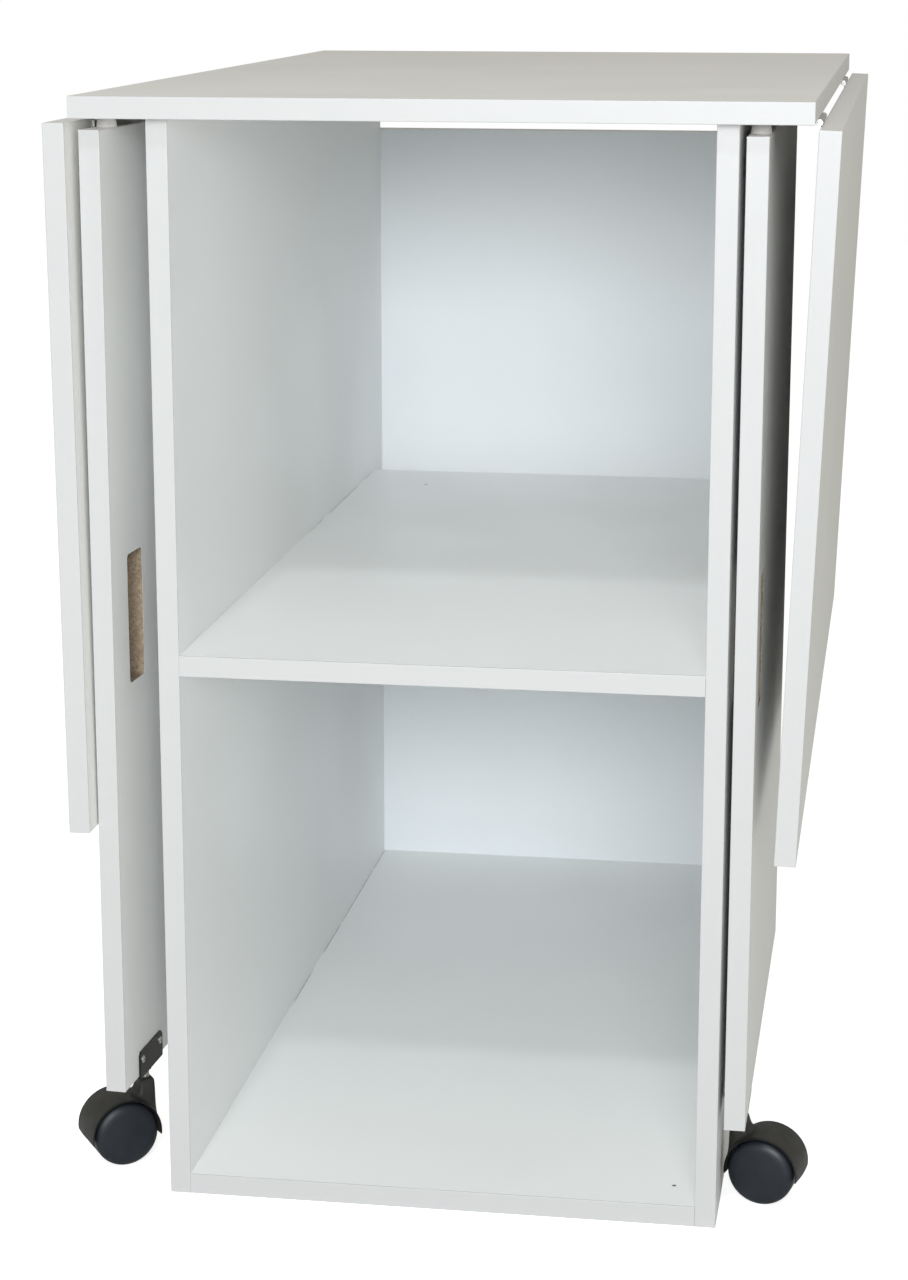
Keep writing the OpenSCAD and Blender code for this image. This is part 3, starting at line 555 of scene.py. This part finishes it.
# Faces of a grid of rows by columns whose columns close into loops, with a cap on both end rows
def cappedGrid(rows, columns):
    row, column = np.meshgrid(np.arange(rows - 1), np.arange(columns), indexing="ij")
    here = (row * columns + column).ravel()
    beside = (row * columns + (column + 1) % columns).ravel()
    faces = np.stack([here, beside, beside + columns, here + columns], 1).tolist()
    faces.append(list(range(columns))[::-1])
    faces.append(list(range((rows - 1) * columns, rows * columns)))
    return faces


# Turned shape: a profile of radius and height, swept once round Z, with a small flat cap at both ends
def turned(profile, around):
    angle = np.linspace(0, 2 * math.pi, around, endpoint=False)
    radius, height = profile[:, :1], profile[:, 1:]
    points = np.stack([radius * np.cos(angle), radius * np.sin(angle), height + 0 * angle], -1)
    return points.reshape(-1, 3), cappedGrid(len(profile), around)


# Points of an ellipse: centre plus the radii times the cosine and sine, evenly from start to stop
def arc(centre, radii, start, stop, count):
    angle = np.radians(np.linspace(start, stop, count))
    return np.stack([centre[0] + radii[0] * np.cos(angle), centre[1] + radii[1] * np.sin(angle)], 1)


# Corner cutting: each leg keeps its middle half, three times over, and both end points stay
def rounded(outline, times=3):
    outline = np.asarray(outline, float)
    for _ in range(times):
        first, second = outline[:-1], outline[1:]
        cut = np.stack([first * 0.75 + second * 0.25, first * 0.25 + second * 0.75], 1).reshape(-1, 2)
        outline = np.concatenate([outline[:1], cut, outline[-1:]])
    return outline


# The same outline with its points at even distances along it
def evenly(outline, count):
    reach = np.concatenate([[0], np.cumsum(np.linalg.norm(np.diff(outline, axis=0), axis=1))])
    at = np.linspace(0, reach[-1], count)
    return np.stack([np.interp(at, reach, outline[:, k]) for k in (0, 1)], 1)


# Castor's own frame, from the joints of the record: its base on the floor under the stem, X from there
# towards the axle, Y along the axle and Z up. The trail is the distance from stem to axle.
def castorFrame(side):
    swivel, wheel = joints[f"castor_{side}_swivel"], joints[f"wheel_{side}_front_spin"]
    base = np.array(swivel["pos_m"]) * (1, 1, 0)
    ahead = np.array(wheel["pos_m"]) * (1, 1, 0) - base
    trail = np.linalg.norm(ahead)
    return base, np.stack([ahead / trail, np.array(wheel["axis"], float), (0, 0, 1)]), trail


# Points of the castor's frame as points of the part: their sum along the three axes, plus the base
def placed(points, base, axes):
    return points.reshape(-1, 3) @ axes + base


hoodSettings = dict(
    inner=0.0274, outer=0.0298, half=0.0195, crown=0.0011, rimRound=0.0006, rimShadeDepth=0.0017, sharpFrom=50,
    lip=6.0, neckFrom=168.0, neckTo=110.0, lipSteps=9, neckSteps=61, overSteps=48, acrossSteps=61,
    neckFull=0.0046, neckFoot=0.0128,       # the neck is whole within the first and gone past the second
    neckOutline=((-0.0286, 0.0130), (-0.02845, 0.0365), (-0.0272, 0.0399), (-0.0168, 0.0399),
                 (-0.0155, 0.0372), (-0.0141, 0.0292)),
    innerAcross=(1, 0.97, 0.85, 0.70, 0.3), flare=(0.0011, 0.0010, 0.0006, 0, 0),
    lips=((0.35, 0.0008), (0.75, 0.0005)), lipNarrow=0.04,      # how far inwards, and how far past the end
)


# Hood: the outer path over the wheels runs from lip to lip, and near the middle of the width
# it rises into the neck. The share of the neck falls smoothly from 1 to 0 across the width. The
# crown drops with the square of the place across, and a quarter circle rounds each rim.
def hoodPoints(trail, axleHeight):
    look = hoodSettings
    neckEnd = look["lipSteps"] + look["neckSteps"]
    around = np.concatenate([
        np.linspace(180 + look["lip"], look["neckFrom"], look["lipSteps"] + 1)[:-1],
        np.linspace(look["neckFrom"], look["neckTo"], look["neckSteps"]),
        np.linspace(look["neckTo"], -look["lip"], look["overSteps"] + 1)[1:],
    ])
    angle = np.radians(around)
    unit = np.stack([np.cos(angle), np.sin(angle)], 1)
    start, stop = look["outer"] * unit[[look["lipSteps"], neckEnd - 1]]
    raised = look["outer"] * unit
    neck = evenly(rounded([start, *look["neckOutline"], stop]), look["neckSteps"])
    raised[look["lipSteps"]:neckEnd] = neck
    # section: outer face with a round rim on both sides, then the inner face, thinner towards the rims
    half, rim = look["half"], look["rimRound"]
    across = half * np.sin(np.linspace(-90, 90, look["acrossSteps"]) * math.pi / 180)
    share = np.clip((look["neckFoot"] - np.abs(across)) / (look["neckFoot"] - look["neckFull"]), 0, 1)
    share = share * share * (3 - 2 * share)
    edge = np.clip((np.abs(across) - half + rim) / rim, 0, 1)
    drop = look["crown"] * (across / half) ** 2 + rim * (1 - np.sqrt(1 - edge * edge))
    outer = (look["outer"] - drop)[None, :, None] * unit[:, None]
    outer = outer + share[None, :, None] * (raised - look["outer"] * unit)[:, None]
    innerAcross, flare = np.array(look["innerAcross"]), np.array(look["flare"])
    innerAcross = np.concatenate([innerAcross, -innerAcross[::-1]]) * half
    innerRadius = look["inner"] + np.concatenate([flare, flare[::-1]])
    inner = innerRadius[None, :, None] * unit[:, None]
    plan = np.concatenate([outer, inner], 1)
    width = np.broadcast_to(np.concatenate([across, innerAcross]), plan.shape[:2])
    # lip: two more sections past each end, drawn in towards the middle of the wall
    middle = (look["inner"] + look["outer"] - look["crown"]) / 2
    lips = []
    for end, way in ((0, 1), (-1, -1)):
        past = np.array([-unit[end][1], unit[end][0]]) * way
        for inwards, reach in look["lips"]:
            section = plan[end] * (1 - inwards) + middle * unit[end] * inwards + past * reach
            lips.append((section, width[end] * (1 - inwards * look["lipNarrow"])))
    before, after = lips[1::-1], lips[2:]
    plan = np.concatenate([[lip[0] for lip in before], plan, [lip[0] for lip in after]])
    width = np.concatenate([[lip[1] for lip in before], width, [lip[1] for lip in after]])
    return np.stack([plan[..., 0] + trail, width, plan[..., 1] + axleHeight], -1)


webSettings = dict(
    half=0.003, bevel=0.0004, bevelSize=0.985, over=0.0006, discFrom=-4, discTo=184, discSteps=61,
    bossRadius=0.0091, bossFrom=200, bossTo=340, bossSteps=25, sharpFrom=30,
)


# Web between the wheels: a half disc that reaches a little way into the hood, with the axle's boss
# below it, drawn along the axle and made smaller at both faces for its bevel
def webPoints(trail, axleHeight):
    look = webSettings
    radius, bossRadius = hoodSettings["inner"] + look["over"], look["bossRadius"]
    disc = arc((0, 0), (radius, radius), look["discFrom"], look["discTo"], look["discSteps"])
    boss = arc((0, 0), (bossRadius, bossRadius), look["bossFrom"], look["bossTo"], look["bossSteps"])
    loop = np.concatenate([disc, boss])
    half, flat = look["half"], look["half"] - look["bevel"]
    depth = np.array([-half, -flat, flat, half])[:, None]
    size = np.array([look["bevelSize"], 1, 1, look["bevelSize"]])[:, None]
    x, z = loop.T
    return np.stack([x * size + trail, 0 * x + depth, z * size + axleHeight], -1)


def makeHood(side):
    look = hoodSettings
    base, axes, trail = castorFrame(side)
    axleHeight, body = wheelSettings["radius"], f"castor_{side}"
    # the hood's plastic, with painted shade near black along both rims
    hoodBlack = moulded(f"hoodBlack_{side}", "hood", (axes[1], base, look["half"] - look["rimShadeDepth"]))
    paint(hoodBlack, f"castor_{side}_hood")
    points = hoodPoints(trail, axleHeight)
    faces = cappedGrid(*points.shape[:2])
    name = f"castor_{side}_hood_shell"
    hood = makeMesh(
        name, placed(points, base, axes), faces, hoodBlack, body, look["sharpFrom"]
    )
    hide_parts(f"castor_{side}_hood")
    points = webPoints(trail, axleHeight)
    faces = cappedGrid(*points.shape[:2])
    name = f"castor_{side}_hood_web"
    makeMesh(
        name, placed(points, base, axes), faces, hoodBlack, body, webSettings["sharpFrom"]
    )


wheelSettings = dict(
    radius=0.026, near=0.0035, out=0.0214, tip=0.0003, bore=0.00306, boreEnd=0.017, hub=0.006,
    hollow=0.0230, hollowFloor=0.0175, hollowFall=0.001, treadRound=0.0012, treadInset=0.0020,
    treadFrom=-120, treadSteps=7, shoulder=(0.0100, 0.0060), shoulderTo=84, shoulderSteps=18,
    domeRise=0.0007, domeSteps=12, around=128, sharpFrom=35,
)


# Wheel's profile, radius by height along the axle: blind bore, hollow inner side, round edge, flat
# tread, long elliptical shoulder, and a shallow dome that falls with the square of the radius
def wheelProfile():
    look = wheelSettings
    radius, near, out, tip, rim = (look[key] for key in ("radius", "near", "out", "tip", "treadRound"))
    wide, tall = look["shoulder"]
    centre = (radius - wide, out - look["domeRise"] - tall)
    shoulder = arc(centre, look["shoulder"], 0, look["shoulderTo"], look["shoulderSteps"])
    edge, height = shoulder[-1]
    inside = np.linspace(edge, tip, look["domeSteps"])[1:]
    dome = np.stack([inside, out - (out - height) * (inside / edge) ** 2], 1)
    floor, tread = look["hollowFloor"], near + look["treadInset"]
    hollow = [
        (tip, look["boreEnd"]), (look["bore"], look["boreEnd"]), (look["bore"], near), (look["hub"], near),
        (look["hub"], floor), (look["hollow"], floor - look["hollowFall"]), (look["hollow"], tread),
    ]
    corner = arc((radius - rim, tread), (rim, rim), look["treadFrom"], 0, look["treadSteps"])
    return np.concatenate([hollow, corner, shoulder, dome])


def makeWheel(side, end):
    look = wheelSettings
    base, axes, trail = castorFrame(side)
    node = f"castor_{side}_{end}_wheel"
    middle = sum((np.array(corner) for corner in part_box(node))) / 2
    hubPlace = np.array(joints[f"wheel_{side}_{end}_spin"]["pos_m"])
    way = np.sign(np.dot(middle - hubPlace, axes[1]))       # which side of the web the wheel is on
    points, faces = turned(wheelProfile(), look["around"])
    points = np.stack([points[:, 0] + trail, points[:, 2] * way, points[:, 1] + look["radius"]], 1)
    wheel = makeMesh(node + "_turned", placed(points, base, axes), faces, discBlack,
                     f"wheel_{side}_{end}", look["sharpFrom"])
    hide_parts(node)


discBlack = moulded("discBlack", "disc")
for side in ("left", "right"):
    paint(discBlack, f"castor_{side}_front_wheel", f"castor_{side}_rear_wheel")
    makeHood(side)
    for end in ("front", "rear"):
        makeWheel(side, end)
print("castors made")
